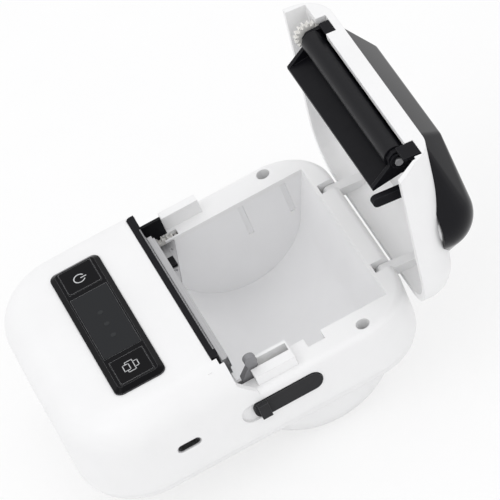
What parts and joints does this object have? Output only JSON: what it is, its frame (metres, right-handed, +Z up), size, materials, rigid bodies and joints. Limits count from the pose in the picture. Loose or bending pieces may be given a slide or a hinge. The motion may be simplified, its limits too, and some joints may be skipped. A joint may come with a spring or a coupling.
{
  "type": "portable thermal label printer",
  "caption": "Palm-sized thermal label printer with a hinged roll cover standing open, showing its roll bay, platen and print head.",
  "frame": {"origin": "middle of the underside of the rest pad under the belly, on the surface the printer stands on", "axes": "+X to the printer's right with the control panel towards the user, +Y to the rear, +Z up"},
  "size_m": [0.1062, 0.1639, 0.1013],
  "materials": {
    "white_shell": "satin",
    "grey_tub": "satin",
    "grey_plastic": "satin",
    "black_gloss": "glossy",
    "smoked_window": "glossy",
    "smoked_lens": "glossy",
    "light_pipe": "glossy",
    "dark_plastic": "satin",
    "circuit_board": "satin",
    "battery_wrap": "satin",
    "plated_steel": "satin",
    "blade_steel": "satin",
    "bracket_steel": "satin",
    "head_aluminium": "satin",
    "gear_plastic": "satin",
    "roller_rubber": "matte",
    "foot_rubber": "matte"
  },
  "bodies": {
    "body": {"upper_shell": "white_shell", "lower_shell": "white_shell", "roll_bay": "grey_tub", "panel_bezel": "black_gloss", "display_window": "smoked_window", "status_leds": "light_pipe", "key_board": "circuit_board", "key_switches": "plated_steel", "tear_frame": "dark_plastic", "tear_blade": "blade_steel", "print_head": "head_aluminium", "head_bracket": "bracket_steel", "head_springs": "plated_steel", "usb_socket": "plated_steel", "main_board": "circuit_board", "battery": "battery_wrap", "drive_motor": "plated_steel", "gear_plate": "bracket_steel", "paper_sensor": "dark_plastic", "case_screws": "plated_steel", "rest_pad": "foot_rubber", "front_feet": "foot_rubber", "hinge_pins": "plated_steel"},
    "power_key": {"power_button": "black_gloss"},
    "feed_key": {"feed_button": "black_gloss"},
    "release": {"latch_slider": "dark_plastic", "latch_rod": "gear_plastic", "latch_hook": "grey_plastic"},
    "pinion": {"motor_pinion": "gear_plastic"},
    "idler": {"idler_gear": "gear_plastic"},
    "cover": {"cover_frame": "white_shell", "cover_lens": "smoked_lens", "platen_bracket": "dark_plastic", "platen_bushes": "dark_plastic", "bracket_screws": "plated_steel"},
    "platen": {"platen_shaft": "plated_steel", "platen_roller": "roller_rubber", "platen_gear": "gear_plastic"}
  },
  "joints": [
    {"name": "cover_hinge", "type": "hinge", "parent": "body", "child": "cover", "pos_m": [0, 0.0392, 0.0368], "axis": [1, 0, 0], "range_deg": [0, 97.5]},
    {"name": "platen_spin", "type": "hinge", "parent": "cover", "child": "platen", "pos_m": [0, 0.05635, 0.09425], "axis": [1, 0, 0], "continuous": true},
    {"name": "pinion_spin", "type": "hinge", "parent": "body", "child": "pinion", "pos_m": [0, -0.03433, 0.03256], "axis": [1, 0, 0], "continuous": true},
    {"name": "idler_spin", "type": "hinge", "parent": "body", "child": "idler", "pos_m": [0, -0.02221, 0.03256], "axis": [1, 0, 0], "continuous": true},
    {"name": "power_press", "type": "slide", "parent": "body", "child": "power_key", "axis": [0, 0, -1], "range_m": [0, 0.0008], "stiffness_N_per_m": 300, "springref_m": -0.001},
    {"name": "feed_press", "type": "slide", "parent": "body", "child": "feed_key", "axis": [0, 0, -1], "range_m": [0, 0.0008], "stiffness_N_per_m": 300, "springref_m": -0.001},
    {"name": "release_slide", "type": "slide", "parent": "body", "child": "release", "axis": [0, -1, 0], "range_m": [0, 0.004], "stiffness_N_per_m": 120, "springref_m": -0.004}
  ],
  "couplings": [
    {"joint": "pinion_spin", "follows": "idler_spin", "ratio": -3}
  ]
}
